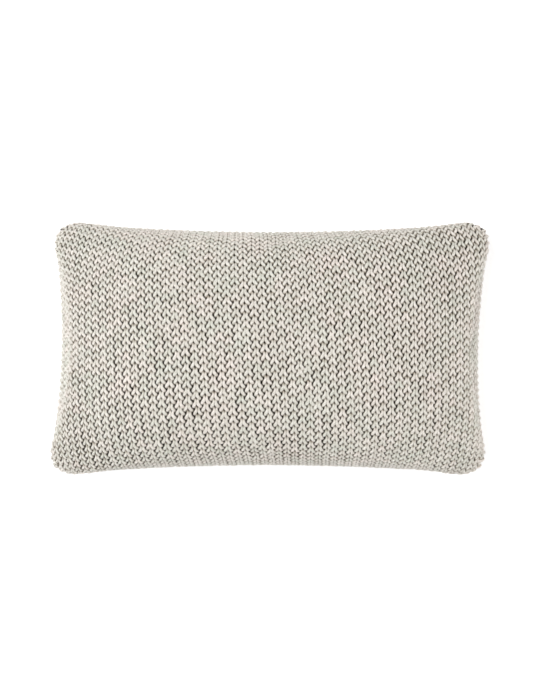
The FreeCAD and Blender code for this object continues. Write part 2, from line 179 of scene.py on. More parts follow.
def tubes(name, paths, outward, radius, sides=10, tone=None, level=None):
    """Closed tubes along paths (tube, ring, xyz). outward is about at right angles to them.
    level is how far each ring lies off the fabric's face, in yarn diameters. It is kept, rounded
    over the tube's section, as the attribute depth: 0 behind the fabric, 1 well out of it. The
    yarn material paints shade from depth, so the rounding paints each tube's underside darker."""
    count, rings = paths.shape[:2]
    radius = np.broadcast_to(radius, (count, rings))[:, :, None, None]
    along = unit(np.gradient(paths, axis=1))
    across = unit(np.cross(along, outward))
    up = np.cross(across, along)
    angle = np.arange(sides) * 2 * math.pi / sides
    cosine = np.sign(np.cos(angle)) * abs(np.cos(angle)) ** SECTION_POWER
    sine = np.sign(np.sin(angle)) * abs(np.sin(angle)) ** SECTION_POWER
    wide = cosine[:, None] * radius * across[:, :, None]
    high = sine[:, None] * radius * up[:, :, None]
    points = (paths[:, :, None] + wide + high).reshape(-1, 3)

    number = np.arange(count * rings * sides).reshape(count, rings, sides)
    near = number[:, :-1]
    far = number[:, 1:]
    quads = np.stack([near, np.roll(near, -1, 2), np.roll(far, -1, 2), far], -1)[..., ::-1]
    caps = np.concatenate([number[:, 0], number[:, -1, ::-1]])
    corners = np.concatenate([quads.ravel(), caps.ravel()])
    sizes = np.concatenate([np.full(quads.size // 4, 4), np.full(len(caps), sides)])
    mesh = mesh_from_arrays(name, points, corners, sizes)

    length = np.cumsum(np.linalg.norm(np.diff(paths, axis=1), axis=2), axis=1)
    length = np.concatenate([np.zeros((count, 1)), length], 1)
    twist = np.empty((count, rings, sides, 3))
    twist[..., 0] = np.cos(angle)
    twist[..., 1] = np.sin(angle)
    twist[..., 2] = length[:, :, None]
    set_attribute(mesh, "twist", twist.reshape(-1, 3))
    tone = np.zeros(count) if tone is None else tone
    set_attribute(mesh, "tone", np.repeat(tone, rings * sides))
    level = np.full((count, rings), 0.2) if level is None else level
    # painted shade: each tube's underside gets less depth, so the yarn material paints it darker
    painted_underside_shade = 0.45 * sine * (radius / YARN * 2)[..., 0]
    set_attribute(mesh, "depth", np.clip((level[:, :, None] + painted_underside_shade + 1) / 1.5, 0, 1).ravel())
    return mesh


def grid_mesh(name, points, close_with=None):
    """A sheet through a grid of points, or a closed body between two such grids."""
    rows, columns = points.shape[:2]
    number = np.arange(rows * columns).reshape(rows, columns)
    faces = [number[:-1, :-1], number[:-1, 1:], number[1:, 1:], number[1:, :-1]]
    quads = np.stack(faces, -1).reshape(-1, 4)
    if close_with is None:
        return mesh_from_arrays(name, points.reshape(-1, 3), quads.ravel(), np.full(len(quads), 4))
    other = quads[:, ::-1] + rows * columns
    rim = np.concatenate([number[0], number[1:, -1], number[-1, -2::-1], number[-2:0:-1, 0]])
    after = np.roll(rim, -1)
    wall = np.stack([after, rim, rim + rows * columns, after + rows * columns], -1)
    quads = np.concatenate([quads, other, wall])
    both = np.concatenate([points.reshape(-1, 3), close_with.reshape(-1, 3)])
    return mesh_from_arrays(name, both, quads.ravel(), np.full(len(quads), 4))


def with_ends(rows):
    """The same rows with one more at each end, carried straight on."""
    return np.concatenate([2 * rows[:1] - rows[1:2], rows, 2 * rows[-1:] - rows[-2:-1]])


def ease(part):
    """0 to 1, setting off and arriving slowly."""
    return part ** 2 * (3 - 2 * part)


def spline(points, samples):
    """A smooth curve through rows of points, evenly divided between them."""
    points = np.asarray(points, float)
    padded = with_ends(points)
    place = np.linspace(0, len(points) - 1, samples)
    start = np.minimum(place.astype(int), len(points) - 2)
    part = (place - start)[:, None]
    a, b, c, d = (padded[start + shift] for shift in range(4))
    return b + 0.5 * part * (c - a + part * (2 * a - 5 * b + 4 * c - d + part * (3 * (b - c) + d - a)))


# ---------------------------------------------------------------- the pillow's form

def plan(x, y):
    """Where a place on the unit square lies in plan, in metres."""
    half_x = SQUARE_X - DRAW_X * (1 - y ** 2)
    half_y = SQUARE_Y - DRAW_Y * (1 - x ** 2)
    far_x = np.clip((abs(x) * half_x - (half_x - CORNER_RADIUS)) / CORNER_RADIUS, 0, 1)
    far_y = np.clip((abs(y) * half_y - (half_y - CORNER_RADIUS)) / CORNER_RADIUS, 0, 1)
    round_x = CORNER_RADIUS * far_x * (1 - np.sqrt(1 - far_y ** 2 / 2))
    round_y = CORNER_RADIUS * far_y * (1 - np.sqrt(1 - far_x ** 2 / 2))
    along = np.sign(x) * (abs(x) * half_x - round_x)
    across = np.sign(y) * (abs(y) * half_y - round_y)
    return along + LEAN * across, across


def crown(x, y):
    """Height over full height at a place on the unit square."""
    ends = np.clip(1 - abs(x) ** END_POWER, 0, 1)
    sides = np.clip(1 - abs(y) ** SIDE_POWER, 0, 1)
    return (ends * sides) ** SEAM_PINCH


def spread(fabric, other, height, lengthwise):
    """Places on the unit square that lie evenly along the fabric, for one line of stitches.
    other is where the line lies across its length, and height is the full height of the crown."""
    half, draw = (SQUARE_X, DRAW_X) if lengthwise else (SQUARE_Y, DRAW_Y)
    place = np.sin(np.linspace(0, math.pi / 2, 300))
    reach = place * (half - draw * (1 - other ** 2))
    level = height * (crown(place, other) if lengthwise else crown(other, place))
    step = np.hypot(np.diff(reach), np.diff(level))
    middle = (place[1:] + place[:-1]) / 2
    stretch = EDGE_STRETCH + (1 - EDGE_STRETCH) * (1 - middle ** 4) * (1 - other ** 4)
    narrowings = (LEFT_NARROWING, RIGHT_NARROWING) if lengthwise else (0, 0)
    halves = []
    for narrowing in narrowings:
        run = np.concatenate([[0], np.cumsum(step / stretch / (1 - narrowing * middle ** 2))])
        halves.append(np.interp(abs(fabric), run / run[-1], place))
    return np.where(fabric < 0, -halves[0], halves[1])


def panel_grid(height):
    """Points of one swollen panel, row by row from the lower seam to the upper one."""
    u = np.linspace(-1, 1, GRID_U + 1)
    v = np.linspace(-1, 1, GRID_V + 1)
    x_middle = spread(u, 0.0, height, True)
    y_middle = spread(v, 0.0, height, False)
    x = np.array([spread(u, y, height, True) for y in y_middle])
    y = np.array([spread(v, x, height, False) for x in x_middle]).T
    along, across = plan(x, y)
    return np.stack([along, across, height * crown(x, y)], -1)


def soft_limit(value, limit, softness):
    """value, bent over smoothly so that it never passes limit."""
    return limit - softness * np.log1p(np.exp((limit - value) / softness))


def swell(front, back):
    """Cloth simulation: the sewn pair of panels is blown up a little from the drawn form."""
    rows, columns = front.shape[:2]
    number = np.arange(rows * columns).reshape(rows, columns)
    inner = np.zeros((rows, columns), bool)
    inner[1:-1, 1:-1] = True
    back_number = number.copy()
    back_number[inner] = rows * columns + np.arange(inner.sum())
    points = np.concatenate([front.reshape(-1, 3), back[inner]])
    faces = []
    for ids, order in ((number, 1), (back_number, -1)):
        quads = np.stack([ids[:-1, :-1], ids[:-1, 1:], ids[1:, 1:], ids[1:, :-1]], -1)
        faces.append(quads.reshape(-1, 4)[:, ::order])
    quads = np.concatenate(faces)
    mesh = mesh_from_arrays("swell", points, quads.ravel(), np.full(len(quads), 4))
    piece = bpy.data.objects.new("swell", mesh)
    bpy.context.scene.collection.objects.link(piece)
    cloth = piece.modifiers.new("cloth", "CLOTH")
    settings = cloth.settings
    settings.quality = 5
    settings.mass = 0.3
    settings.tension_stiffness = 40
    settings.compression_stiffness = 40
    settings.shear_stiffness = 15
    settings.bending_stiffness = 2
    settings.use_pressure = True
    settings.uniform_pressure_force = SWELL_PRESSURE
    settings.effector_weights.gravity = 0
    cloth.collision_settings.use_collision = False
    cloth.point_cache.frame_start = 1
    cloth.point_cache.frame_end = SWELL_FRAMES
    for tick in range(1, SWELL_FRAMES + 1):
        bpy.context.scene.frame_set(tick)
    swollen = piece.evaluated_get(bpy.context.evaluated_depsgraph_get())
    moved = np.empty(len(points) * 3, np.float32)
    swollen.data.vertices.foreach_get("co", moved)
    shift = moved.reshape(-1, 3) - points
    length = np.linalg.norm(shift, axis=1, keepdims=True)
    shift *= np.minimum(1, SWELL_CAP / np.maximum(length, 1e-9))
    bpy.data.objects.remove(piece)
    bpy.context.scene.frame_set(1)
    return front + shift[number], back + shift[back_number]


class Panel:
    """One knitted panel as a smooth surface over fabric coordinates from -1 to 1."""

    def __init__(self, grid, outward):
        self.outward = outward
        wide = with_ends(grid.swapaxes(0, 1)).swapaxes(0, 1)
        self.grid = with_ends(wide)

    def place(self, u, v):
        """Position and outward normal at fabric coordinates; a little past the edge is allowed."""
        rows, columns = self.grid.shape[0] - 3, self.grid.shape[1] - 3
        column = (np.asarray(u) + 1) / 2 * columns
        row = (np.asarray(v) + 1) / 2 * rows
        i = np.clip(np.floor(column).astype(int), 0, columns - 1)
        j = np.clip(np.floor(row).astype(int), 0, rows - 1)
        wu, du = self.weights(column - i)
        wv, dv = self.weights(row - j)
        at = np.zeros(column.shape + (3,))
        along = np.zeros_like(at)
        across = np.zeros_like(at)
        for b in range(4):
            for a in range(4):
                corner = self.grid[j + b, i + a]
                at += (wv[b] * wu[a])[..., None] * corner
                along += (wv[b] * du[a])[..., None] * corner
                across += (dv[b] * wu[a])[..., None] * corner
        return at, unit(np.cross(along, across)) * self.outward

    @staticmethod
    def weights(part):
        """Catmull-Rom weights of four neighbours, and their slopes."""
        p2, p3 = part ** 2, part ** 3
        value = [(-p3 + 2 * p2 - part) / 2, (3 * p3 - 5 * p2 + 2) / 2,
                 (-3 * p3 + 4 * p2 + part) / 2, (p3 - p2) / 2]
        slope = [(-3 * p2 + 4 * part - 1) / 2, (9 * p2 - 10 * part) / 2,
                 (-9 * p2 + 8 * part + 1) / 2, (3 * p2 - 2 * part) / 2]
        return value, slope


def lumps(u, v, waves=7):
    """Slow unevenness of the filling, in metres."""
    total = np.zeros_like(u)
    for _ in range(waves):
        turn = random.uniform(0, 2 * math.pi)
        pace = random.uniform(1.5, 4.5)
        phase = random.uniform(0, 2 * math.pi)
        total += np.sin(pace * (u * math.cos(turn) * 1.7 + v * math.sin(turn)) + phase)
    return total * LUMPS / waves


def pillow_form():
    """Grids of the two panels of the cover, at the middle of the yarn that shows, sewn all round."""
    front = panel_grid(CROWN_Z - SEAM_Z - YARN / 2)
    back = panel_grid(SEAM_Z - FLOOR_Z + BACK_BULGE)
    u, v = np.meshgrid(np.linspace(-1, 1, GRID_U + 1), np.linspace(-1, 1, GRID_V + 1))
    fade = (1 - u ** 4) * (1 - v ** 4)
    front[..., 2] += SEAM_Z + lumps(u, v) * fade
    lowest = SEAM_Z - FLOOR_Z - REST_LIFT
    edge = np.clip((1 - np.maximum(abs(u), abs(v))) / 0.05, 0, 1)
    back[..., 2] = SEAM_Z - soft_limit(back[..., 2], lowest, FLOOR_BEND) * edge
    front, back = swell(front, back)
    back[..., 2] = np.maximum(back[..., 2], FLOOR_Z + REST_LIFT)
    rise = front[..., 2] - SEAM_Z
    front[..., 2] = SEAM_Z + rise * min(1, (CROWN_Z + CROWN_SPARE - SEAM_Z) / rise.max())
    return front, back


def with_lip(grid, opening):
    """The panel with its lower edge lifted off the zipper's middle."""
    grid = grid.copy()
    v = np.linspace(-1, 1, GRID_V + 1)[:, None]
    near = np.clip((LIP_WIDTH - 1 - v) / LIP_WIDTH, 0, 1)
    within = np.clip((ZIP_HALF + LIP_END - abs(grid[..., 0])) / LIP_CLOSING, 0, 1)
    grid[..., 2] += opening * ease(near) * ease(within)
    return grid


# ---------------------------------------------------------------- materials

class Nodes:
    """A short way to write a node material."""

    def __init__(self, name):
        self.material = bpy.data.materials.new(name)
        self.material.use_nodes = True
        self.tree = self.material.node_tree
        self.shader = self.tree.nodes["Principled BSDF"]

    def node(self, kind, **settings):
        made = self.tree.nodes.new(kind)
        for key, value in settings.items():
            setattr(made, key, value)
        return made

    def link(self, source, target):
        self.tree.links.new(source, target)

    def math(self, operation, *values):
        made = self.node("ShaderNodeMath", operation=operation)
        for socket, value in zip(made.inputs, values):
            if isinstance(value, (int, float)):
                socket.default_value = value
            else:
                self.link(value, socket)
        return made.outputs[0]

    def ramp(self, factor, stops):
        made = self.node("ShaderNodeValToRGB")
        elements = made.color_ramp.elements
        while len(elements) < len(stops):
            elements.new(0.5)
        for element, (position, colour) in zip(elements, stops):
            element.position = position
            element.color = (*colour, 1)
        self.link(factor, made.inputs[0])
        return made.outputs[0]

    def mix(self, kind, factor, first, second):
        made = self.node("ShaderNodeMix", data_type="RGBA", blend_type=kind)
        sockets = (made.inputs[0], made.inputs[6], made.inputs[7])
        for socket, value in zip(sockets, (factor, first, second)):
            if isinstance(value, tuple):
                socket.default_value = (*value, 1)
            elif isinstance(value, (int, float)):
                socket.default_value = value
            else:
                self.link(value, socket)
        return made.outputs[2]

    def noise(self, scale, detail):
        made = self.node("ShaderNodeTexNoise")
        made.inputs["Scale"].default_value = scale
        made.inputs["Detail"].default_value = detail
        self.link(self.position(), made.inputs["Vector"])
        return made.outputs[0]

    def position(self):
        return self.node("ShaderNodeTexCoord").outputs["Object"]

    def attribute(self, name):
        return self.node("ShaderNodeAttribute", attribute_name=name)

    def bump(self, height, strength, distance):
        made = self.node("ShaderNodeBump")
        made.inputs["Strength"].default_value = strength
        made.inputs["Distance"].default_value = distance
        self.link(height, made.inputs["Height"])
        self.link(made.outputs[0], self.shader.inputs["Normal"])

    def finish(self, roughness, sheen=0.0):
        self.shader.inputs["Roughness"].default_value = roughness
        if sheen:
            self.shader.inputs["Sheen Weight"].default_value = sheen
            self.shader.inputs["Sheen Roughness"].default_value = 0.45
        return self.material


def srgb(red, green, blue):
    """Linear colour from 0-255 screen values."""
    return tuple(((c / 255 + 0.055) / 1.055) ** 2.4 for c in (red, green, blue))


def yarn_material():
    """Soft two-ply cotton: twist as bump, tone that changes a little from stitch to stitch, painted
    shade in the ply grooves, and painted shade that deepens where the yarn dips behind its
    neighbours and on each tube's underside."""
    n = Nodes("cotton_yarn")
    twist = n.node("ShaderNodeSeparateXYZ")
    n.link(n.attribute("twist").outputs["Vector"], twist.inputs[0])
    cosine, sine, along = twist.outputs
    turn = n.math("MULTIPLY", along, 2 * math.pi / YARN_LAY)
    double_cosine = n.math(
        "SUBTRACT",
        n.math("MULTIPLY", cosine, cosine),
        n.math("MULTIPLY", sine, sine))
    double_sine = n.math("MULTIPLY", n.math("MULTIPLY", sine, cosine), 2.0)
    ply = n.math(
        "SUBTRACT",
        n.math("MULTIPLY", double_cosine, n.math("COSINE", turn)),
        n.math("MULTIPLY", double_sine, n.math("SINE", turn)))
    ply_height = n.math("POWER", n.math("ABSOLUTE", ply), 0.5)
    tone = n.attribute("tone").outputs["Fac"]
    depth = n.attribute("depth").outputs["Fac"]
    base = n.ramp(tone, [
        (0.0, srgb(229, 230, 224)),
        (0.5, srgb(238, 236, 232)),
        (1.0, srgb(246, 241, 238))])
    patches = n.ramp(n.noise(28, 3), [(0.3, srgb(249, 250, 245)), (0.7, srgb(255, 250, 247))])
    base = n.mix("MULTIPLY", 1.0, base, patches)
    mottle = n.ramp(n.noise(330, 3), [(0.3, srgb(232, 230, 226)), (0.68, (1, 1, 1))])
    base = n.mix("MULTIPLY", 1.0, base, mottle)
    # painted shade in the grooves between the two plies
    painted_groove_shade = n.ramp(ply_height, [(0.0, srgb(214, 206, 192)), (0.45, (1, 1, 1))])
    base = n.mix("MULTIPLY", 0.55, base, painted_groove_shade)
    # painted shade: the deeper the yarn lies behind its neighbours, the darker, down to nearly black
    inner = n.ramp(depth, [
        (0.1, srgb(52, 45, 37)),
        (0.5, srgb(100, 90, 78)),
        (0.72, srgb(192, 184, 173)),
        (0.88, (1, 1, 1))])
    base = n.mix("MULTIPLY", 1.0, base, inner)
    n.link(base, n.shader.inputs["Base Color"])
    fibre = n.noise(2600, 2)
    height = n.math("ADD", n.math("MULTIPLY", ply_height, 0.7), n.math("MULTIPLY", fibre, 0.3))
    n.bump(height, 1.0, 0.9 * MM)
    return n.finish(roughness=0.48, sheen=0.08)


def weave_material(name, colour, pitch, roughness=0.85):
    """Plain weave: over and under threads as bump, with painted shade where the threads dip, and a
    faint slub.
    """
    n = Nodes(name)
    position = n.node("ShaderNodeSeparateXYZ")
    n.link(n.position(), position.inputs[0])
    pace = math.pi / pitch
    warp = n.math("SINE", n.math("MULTIPLY", position.outputs[0], pace))
    across = n.math("ADD", position.outputs[1], position.outputs[2])
    weft = n.math("SINE", n.math("MULTIPLY", across, pace))
    cross = n.math("MULTIPLY", warp, weft)
    height = n.math("ABSOLUTE", cross)
    slub = n.noise(300, 3)
    # painted shade: the weave is darker where its threads dip under each other; the slub is the cloth's
    # own tone
    shade = n.ramp(n.math("ADD", n.math("MULTIPLY", height, 0.5), n.math("MULTIPLY", slub, 0.5)),
                   [(0.2, tuple(c * 0.72 for c in colour)), (0.8, colour)])
    n.link(shade, n.shader.inputs["Base Color"])
    n.bump(height, 0.5, pitch * 0.4)
    return n.finish(roughness=roughness, sheen=0.15)


def ground_material():
    """The knit's inner side in painted shade, seen only through the gaps between stitches."""
    n = Nodes("knit_ground_painted_shade")
    # painted shade: a dark taupe that stands in for the shade inside the fabric
    shade = n.ramp(n.noise(220, 3), [(0.3, srgb(66, 58, 48)), (0.7, srgb(88, 79, 67))])
    n.link(shade, n.shader.inputs["Base Color"])
    n.bump(n.noise(420, 2), 0.6, 1.0 * MM)
    return n.finish(roughness=0.95)


def thread_material():
    n = Nodes("sewing_thread")
    shade = n.ramp(n.noise(900, 2), [(0.3, srgb(196, 188, 170)), (0.7, srgb(222, 214, 198))])
    n.link(shade, n.shader.inputs["Base Color"])
    n.bump(n.noise(3000, 2), 0.4, 0.1 * MM)
    return n.finish(roughness=0.6, sheen=0.2)


def nylon_material():
    n = Nodes("nylon_coil")
    shade = n.ramp(n.noise(500, 2), [(0.3, srgb(226, 220, 204)), (0.7, srgb(238, 233, 220))])
    n.link(shade, n.shader.inputs["Base Color"])
    rough = n.ramp(n.noise(1500, 2), [(0.2, (0.28,) * 3), (0.8, (0.42,) * 3)])
    n.link(rough, n.shader.inputs["Roughness"])
    n.bump(n.noise(2500, 2), 0.2, 0.05 * MM)
    return n.material


def enamel_material():
    """Beige enamel on die-cast zinc, rubbed through to bare metal in places."""
    n = Nodes("slider_enamel")
    wear = n.noise(650, 4)
    mask = n.ramp(wear, [(0.60, (0, 0, 0)), (0.68, (1, 1, 1))])
    colour = n.mix("MIX", mask, srgb(198, 188, 166), srgb(176, 172, 166))
    n.link(colour, n.shader.inputs["Base Color"])
    n.link(mask, n.shader.inputs["Metallic"])
    rough = n.ramp(n.noise(2200, 2), [(0.2, (0.24,) * 3), (0.8, (0.40,) * 3)])
    n.link(rough, n.shader.inputs["Roughness"])
    n.bump(n.noise(1800, 2), 0.15, 0.05 * MM)
    return n.material


def fibre_material():
    n = Nodes("polyester_fibre")
    shade = n.ramp(n.noise(160, 6), [(0.3, srgb(214, 214, 212)), (0.7, srgb(248, 248, 246))])
    n.link(shade, n.shader.inputs["Base Color"])
    n.bump(n.noise(420, 6), 0.8, 2.0 * MM)
    return n.finish(roughness=0.95, sheen=0.4)


def floor_material():
    n = Nodes("pale_glowing_floor")
    shade = n.ramp(n.noise(3, 2), [(0.2, (0.93, 0.93, 0.93)), (0.8, (0.95, 0.95, 0.95))])
    n.link(shade, n.shader.inputs["Base Color"])
    # the floor glows a little: painted light that whitens it and washes out the pillow's shadow
    n.shader.inputs["Emission Color"].default_value = (1, 1, 1, 1)
    n.shader.inputs["Emission Strength"].default_value = 0.35
    return n.finish(roughness=0.9)


# ---------------------------------------------------------------- the knit

# Half of one stitch, from the middle of its head to the place where it passes behind its
# neighbour: across the column, down it and out of it, in wale pitches, stitch pitches and
# yarn diameters, then how plump the yarn is there. The other half is its mirror image.
HALF_STITCH = [
    (0.00, 1.21, -1.15, 0.57),
    (0.17, 1.17, -1.12, 0.60),
    (0.30, 1.10, -0.97, 0.66),
    (0.37, 1.02, -0.65, 0.78),
    (0.41, 0.92, -0.27, 0.90),
    (0.38, 0.82, 0.00, 1.02),
    (0.29, 0.70, 0.11, 1.06),
    (0.20, 0.55, 0.12, 1.02),
    (0.14, 0.39, 0.08, 0.90),
    (0.13, 0.24, 0.05, 0.80),
    (0.14, 0.10, 0.00, 0.74),
    (0.16, -0.04, -0.11, 0.69),
    (0.21, -0.17, -0.45, 0.66),
    (0.30, -0.29, -0.91, 0.62),
    (0.50, -0.37, -1.17, 0.60),
]
STITCH_RINGS = 31
SHORTEST_STITCH = 0.4         # a column ends where less than this part of a stitch is left
SWAY = 0.03                   # every stitch snakes a little, from the yarn's twist

# How the knit drifts, in half widths of the panel
COURSE_SAG = 0.12             # the courses run downhill right of the middle,
SAG_START = 0.03              # from here
SAG_RUN = 0.6                 # and over this length,
SAG_WITHIN = 0.45             # partly as a bow between the seams, the rest more towards the lower one
WALE_SLANT = 0.045            # the wales lean, top to the left,
TOP_PINCH = 0.05              # and are gathered a little along the upper seam

# How much stitches differ, as the spread of a normal draw
UNEVEN_WIDTH = 0.03
UNEVEN_ACROSS = 0.018         # in wale pitches
UNEVEN_DOWN = 0.022           # in stitch pitches
UNEVEN_LEAN = 0.03
UNEVEN_LIFT = 0.03            # in yarn diameters
UNEVEN_YARN = 0.03
UNEVEN_TONE = 0.2


def stitch_path():
    """Rings of one whole stitch, in the units of HALF_STITCH."""
    half = np.array(HALF_STITCH)
    left = half[:0:-1] * (-1, 1, 1, 1)
    return spline(np.concatenate([left, half]), STITCH_RINGS)


def stitch_size(panel, wale, start):
    """How large each stitch is beside one with yarn of the full diameter; the yarn shrinks with it."""
    u = (wale + 0.5) / WALES * 2 - 1
    v = np.clip(1 - (start + 0.5) / COURSES * 2, -0.98, 0.98)
    step = 0.01
    wide = np.linalg.norm(panel.place(u + step, v)[0] - panel.place(u - step, v)[0], axis=-1)
    tall = np.linalg.norm(panel.place(u, v + step)[0] - panel.place(u, v - step)[0], axis=-1)
    wide = wide / (WALES * step) / WALE_PITCH
    tall = tall / (COURSES * step) / COURSE_PITCH
    return np.clip((wide * tall) ** YARN_THINNING, YARN_THINNEST, YARN_THICKEST)


def drift(u, v):
    """Where a place on the straight knit ends up once the cover is stuffed and put down."""
    part = np.clip((u - SAG_START) / SAG_RUN, 0, 1)
    fall = SAG_WITHIN * (1 - v ** 2) + (1 - SAG_WITHIN) * (1 - v) / 2
    slant = WALE_SLANT * v * (1 - u ** 2)
    pinch = TOP_PINCH * u * (1 - u ** 2) * np.clip(v * 2 - 1, 0, 1) ** 2
    return u - slant - pinch, v - COURSE_SAG * ease(part) * fall


def stitch_places(rows):
    """Column and first course of the stitches in some rows. Every other column is half a stitch up,
    and a stitch that has drifted past the lower seam is left out."""
    wale = []
    start = []
    for row in rows:
        for column in range(WALES):
            first = row - 0.5 * (column % 2)
            middle = drift((column + 0.5) / WALES * 2 - 1, 1 - (first + 0.5) / COURSES * 2)
            if first < COURSES - SHORTEST_STITCH and middle[1] > -1.01:
                wale.append(column)
                start.append(first)
    return np.array(wale, float)[:, None], np.array(start, float)[:, None]


def tones(count):
    """A random tone for each of some lengths of yarn."""
    return np.clip(random.normal(0.5, UNEVEN_TONE, count), 0, 1)


def knit(panel, side, material):
    """All stitches of one panel, as bands of courses."""
    template = stitch_path()
    pieces = []
    rows = COURSES + 1
    band_size = math.ceil(rows / KNIT_PIECES)
    for band in range(KNIT_PIECES):
        wale, start = stitch_places(range(band * band_size, min((band + 1) * band_size, rows)))
        count = len(wale)
        narrow = 1 + random.normal(0, UNEVEN_WIDTH, (count, 1))
        nudge = random.normal(0, UNEVEN_ACROSS, (count, 1))
        drop = random.normal(0, UNEVEN_DOWN, (count, 1))
        lean = random.normal(0, UNEVEN_LEAN, (count, 1))
        lift = random.normal(0, UNEVEN_LIFT, (count, 1))
        plump = 1 + random.normal(0, UNEVEN_YARN, (count, 1))
        sway = SWAY * np.cos(2 * math.pi * (template[:, 1] - 0.07))
        across = template[:, 0] * narrow + sway + nudge + lean * (template[:, 1] - 0.5)
        down = template[:, 1] + drop
        u = (wale + 0.5 + across) / WALES * 2 - 1
        v = 1 - (start + down) / COURSES * 2
        u, v = drift(u, v)
        u = np.clip(u, -SEAM_OVERRUN, SEAM_OVERRUN)
        v = np.clip(v, -LIP_TRIM, SEAM_OVERRUN)
        at, outward = panel.place(u, v)
        size = stitch_size(panel, wale, start)
        level = template[:, 2] + lift
        paths = at + outward * (level * YARN * size)[..., None]
        name = "knit_%s_courses_%d" % (side, band + 1)
        radius = YARN / 2 * template[:, 3] * plump * size
        mesh = tubes(name, paths, outward, radius, sides=8, tone=tones(count), level=level)
        pieces.append(new_object(name, mesh, "cover", material))
    return pieces


def ground(panel, side, material):
    """The fabric's inner side as one sheet behind the stitches, cut round at the corners."""
    reach = GROUND_REACH
    u, v = np.meshgrid(np.linspace(-reach, reach, 120), np.linspace(-reach, reach, 76))
    u, v = u * np.sqrt(1 - 0.2 * v ** 8), v * np.sqrt(1 - 0.2 * u ** 8)
    at, outward = panel.place(u, v)
    inner = at - outward * GROUND_DEPTH
    sheet = new_object("knit_%s_ground" % side, grid_mesh("ground", inner), "cover", material)
    return sheet


# ---------------------------------------------------------------- seams

LACING_PITCH = 8 * MM         # between one loop of the lacing and the next
LACING_RADIUS = 0.33 * YARN
LACING_SLIP = 1.6 * MM        # a loop leans along the seam by this to either side,
LACING_RISE = 2.5 * MM        # and its top runs this far up and down
LACING_POINTS = 14            # rings of one loop
CHAIN = 7.8 * MM              # one link of the chain along the zipper,
CHAIN_OVERLAP = 1.45          # each this much longer, so that it starts under the next
CHAIN_RADIUS = 0.36 * YARN
CHAIN_END = 9 * MM            # past the tapes' ends by this the chain stops


def run_along(path):
    """Length of a path up to each of its points."""
    return np.concatenate([[0], np.cumsum(np.linalg.norm(np.diff(path, axis=0), axis=1))])


def pick(where, run, rows):
    """Rows of xyz, read off at some lengths along their path."""
    return np.stack([np.interp(where, run, rows[:, axis]) for axis in range(3)], -1)


def square_edge(count):
    """Places round the edge of the fabric square, anticlockwise from its lower left corner."""
    part = np.arange(count) / count * 4
    side = part.astype(int)
    run = (part - side) * 2 - 1
    u = np.choose(side, [run, np.ones(count), -run, -np.ones(count)])
    v = np.choose(side, [-np.ones(count), run, np.ones(count), -run])
    return u, v


def even_edge(panel, spacing):
    """The same places, but evenly spaced along the sewn edge."""
    u, v = square_edge(1600)
    at, _ = panel.place(u, v)
    step = np.linalg.norm(np.roll(at, -1, 0) - at, axis=1)
    length = np.concatenate([[0], np.cumsum(step)])
    wanted = np.arange(0, length[-1], spacing)
    place = np.interp(wanted, length, np.arange(len(length)))
    near = place.astype(int) % len(u)
    return u[near], v[near]


def whip_stitches(front, back, material):
    """Yarn that laces the two panels together wherever the zipper doesn't."""
    u, v = even_edge(front, LACING_PITCH)
    at, _ = front.place(u, v)
    sewn = (v > -0.999) | (abs(at[:, 0]) > ZIP_HALF + TAPE_TAIL)
    u, v, at = u[sewn], v[sewn], at[sewn]
    slip = unit(np.roll(at, -1, 0) - np.roll(at, 1, 0)) * LACING_SLIP
    out = unit(at * (1, 1, 0) / (SQUARE_X, SQUARE_Y, 1))
    points = []
    for panel, inset, lift, side in (
            (front, 0.040, -0.8, -1.5), (front, 0.026, 0.35, -1), (front, 0.006, 0.62, -0.4),
            (back, 0.006, 0.62, 0.4), (back, 0.026, 0.35, 1), (back, 0.040, -0.8, 1.5)):
        spot, outward = panel.place(u * (1 - inset), v * (1 - inset))
        spot = spot + outward * lift * YARN + slip * side
        if inset < 0.01:
            spot = at + out * 0.3 * YARN + slip * side - (0, 0, side * LACING_RISE)
        points.append(spot)
    points = np.stack(points, 1)
    paths = np.stack([spline(line, LACING_POINTS) for line in points])
    outward = np.repeat(out[:, None], LACING_POINTS, 1) + (0, 0, 0.01)
    mesh = tubes("whip", paths, outward, LACING_RADIUS, tone=tones(len(paths)))
    piece = new_object("cover_seam_lacing", mesh, "cover", material)
    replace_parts(piece, "cover_seam_yarn")


def bind_off(panel, side, material):
    """The chain of yarn that finishes a panel's edge along the zipper."""
    u = np.linspace(-1, 1, 2000)
    at, outward = panel.place(u, np.full(2000, -1.0))
    open_edge = abs(at[:, 0]) < ZIP_HALF + CHAIN_END
    at, outward = at[open_edge], outward[open_edge]
    run = run_along(at)
    starts = np.arange(0, run[-1] - 1.4 * CHAIN, CHAIN)[:, None]
    part = np.linspace(0, 1, 13)
    where = starts + part * CHAIN * CHAIN_OVERLAP
    paths = pick(where, run, at)
    facing = pick(where, run, outward)
    along = unit(np.gradient(paths, axis=1))
    inward = np.cross(facing, along) * panel.outward
    arch = np.sin(part * math.pi) * 0.55 - 0.35
    slide = (part - 0.5) * 0.45
    shift = random.normal(0, 0.05, (len(starts), 1))
    paths = paths + facing * ((arch + shift) * YARN)[..., None]
    paths = paths + inward * (slide * YARN + 0.2 * YARN)[None, :, None]
    mesh = tubes("chain", paths, facing, CHAIN_RADIUS, tone=tones(len(starts)))
    return new_object("knit_%s_bind_off" % side, mesh, "cover", material)


